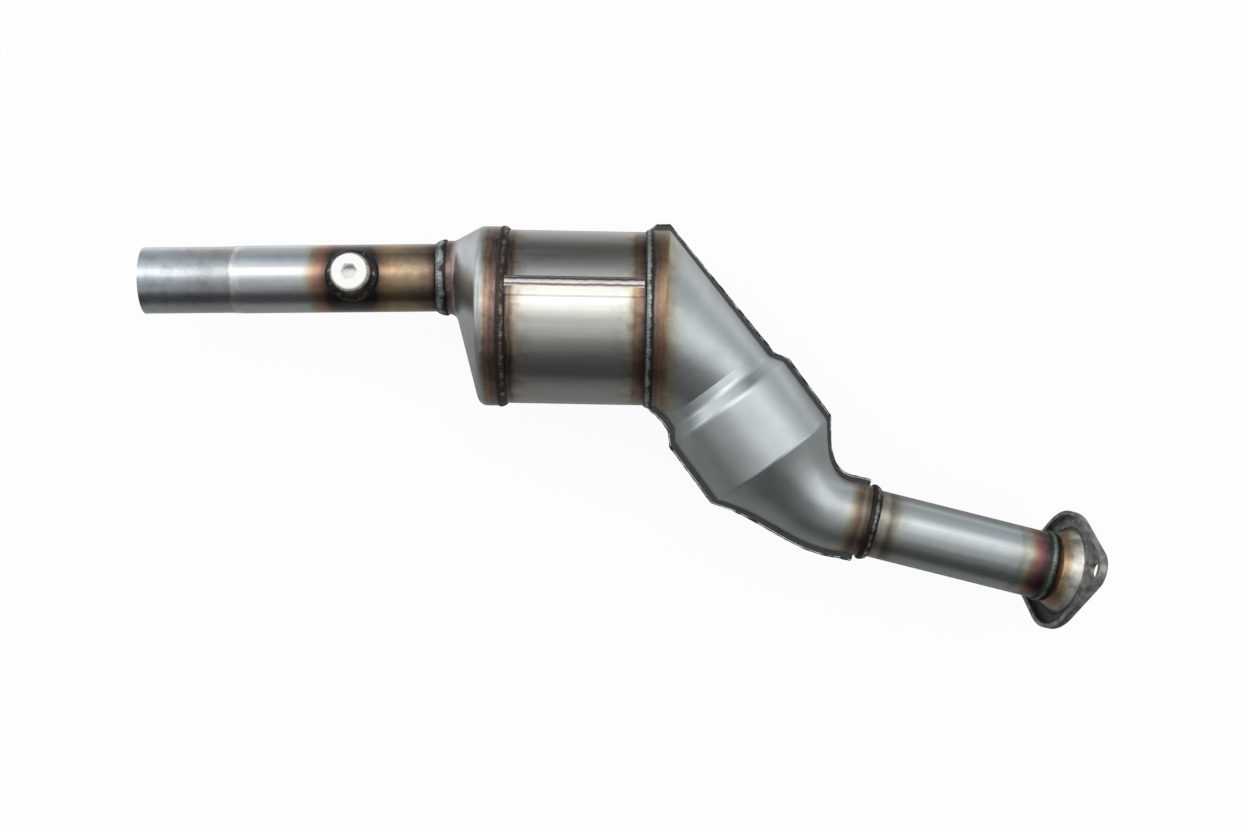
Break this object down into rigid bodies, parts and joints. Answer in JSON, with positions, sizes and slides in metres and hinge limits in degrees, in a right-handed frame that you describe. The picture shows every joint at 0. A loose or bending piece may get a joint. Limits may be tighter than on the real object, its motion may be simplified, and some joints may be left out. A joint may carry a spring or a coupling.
{
  "type": "catalytic converter",
  "caption": "Welded stainless catalytic converter: straight sensor pipe, offset end cone, rolled can, stamped elbow with a second brick, short pipe and flared pressed flange.",
  "frame": {"origin": "centre of the rear pipe's open mouth", "axes": "+X along the rear pipe into the converter, which is also its longest direction; +Z the way the sensor boss points; +Y to the left of +X, away from the flange"},
  "size_m": [0.707, 0.3073, 0.1362],
  "materials": {
    "stainless_rear": "bright drawn stainless tube, blue-grey, straw and brown heat tint towards the cone",
    "boss_steel": "machined steel, dark from welding",
    "boss_weld_bead": "burnt weld ring, brown-black",
    "plug_plastic": "moulded white plastic",
    "collar_weld_bead": "rippled weld bead, dark grey",
    "cone_steel": "satin pressed stainless, copper and brown tint towards the can",
    "girth_weld_bead": "rippled weld bead, silver-grey with dark edges",
    "can_steel": "rolled stainless sheet, polished, long soft reflections",
    "can_seam_bead": "fine bead along the lap, pale pink-grey",
    "elbow_steel": "satin stamped stainless, cool grey",
    "elbow_seam_bead": "black, burnt weld bead",
    "front_weld_bead": "rippled silver weld bead on a burnt patch",
    "stainless_front": "satin stainless tube, straw and magenta heat tint towards the socket",
    "socket_weld_bead": "grey-green weld bead",
    "socket_steel": "flared stainless, copper and gold heat tint",
    "flange_steel": "dark grey pressed steel, mottled scale",
    "lip_weld_bead": "plain weld bead, dark grey",
    "brick_ceramic": "extruded ceramic honeycomb, matte",
    "mat_fibre": "ceramic fibre mat"
  },
  "bodies": {
    "root": {"rear_pipe": "stainless_rear", "sensor_boss": "boss_steel", "sensor_boss_weld": "boss_weld_bead", "sensor_plug": "plug_plastic", "rear_collar_weld": "collar_weld_bead", "rear_cone": "cone_steel", "rear_girth_weld": "girth_weld_bead", "shell": "can_steel", "shell_seam_weld": "can_seam_bead", "front_girth_weld": "girth_weld_bead", "elbow_upper_half": "elbow_steel", "elbow_lower_half": "elbow_steel", "elbow_outer_seam_weld": "elbow_seam_bead", "elbow_inner_seam_weld": "elbow_seam_bead", "front_collar_weld": "front_weld_bead", "front_pipe": "stainless_front", "socket_weld": "socket_weld_bead", "flared_socket": "socket_steel", "flange": "flange_steel", "flange_weld": "lip_weld_bead", "main_brick": "brick_ceramic", "main_mat": "mat_fibre", "second_brick": "brick_ceramic", "second_mat": "mat_fibre"}
  },
  "joints": []
}
